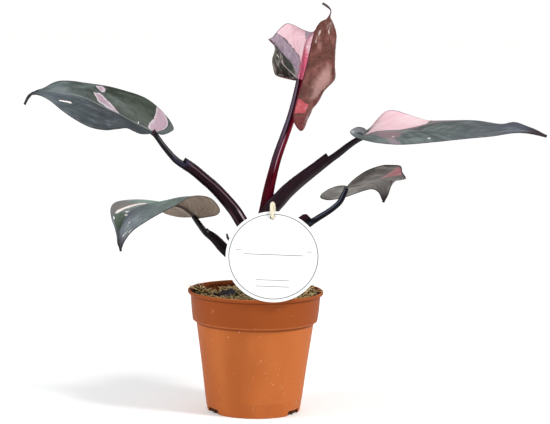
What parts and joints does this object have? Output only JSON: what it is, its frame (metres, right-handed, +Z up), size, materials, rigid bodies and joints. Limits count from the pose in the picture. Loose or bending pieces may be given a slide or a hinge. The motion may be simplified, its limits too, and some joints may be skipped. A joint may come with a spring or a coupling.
{
  "type": "potted pink princess philodendron",
  "caption": "Young climbing foliage plant with waved, pink-variegated heart-shaped leaves on winged stalks, in a round stepped nursery pot with a blank hanging tag.",
  "frame": {"origin": "centre of the pot's flat bottom, at the level it stands on", "axes": "+Z up along the pot's axis, +X to the side of the long right-hand leaf, -Y towards the tag's face"},
  "size_m": [0.4562, 0.1711, 0.3686],
  "materials": {
    "pot_plastic": "satin",
    "soil": "matte",
    "bark": "matte",
    "stem": "satin",
    "leaf": "satin",
    "leaf_young": "gloss",
    "petiole": "gloss",
    "petiole_young": "gloss",
    "bud_scale": "matte",
    "tag_card": "satin",
    "tag_cord": "matte"
  },
  "bodies": {
    "root": {"pot": "pot_plastic", "soil": "soil", "bark_flake": "bark", "main_stem": "stem", "leaf_1": "leaf", "leaf_2": "leaf", "leaf_3": "leaf", "leaf_4": "leaf", "leaf_5": "leaf_young", "petiole_1": "petiole", "petiole_2": "petiole", "petiole_3": "petiole", "petiole_4": "petiole", "petiole_5": "petiole_young", "bud_scale": "bud_scale", "tag": "tag_card", "tag_cord": "tag_cord"}
  },
  "joints": []
}
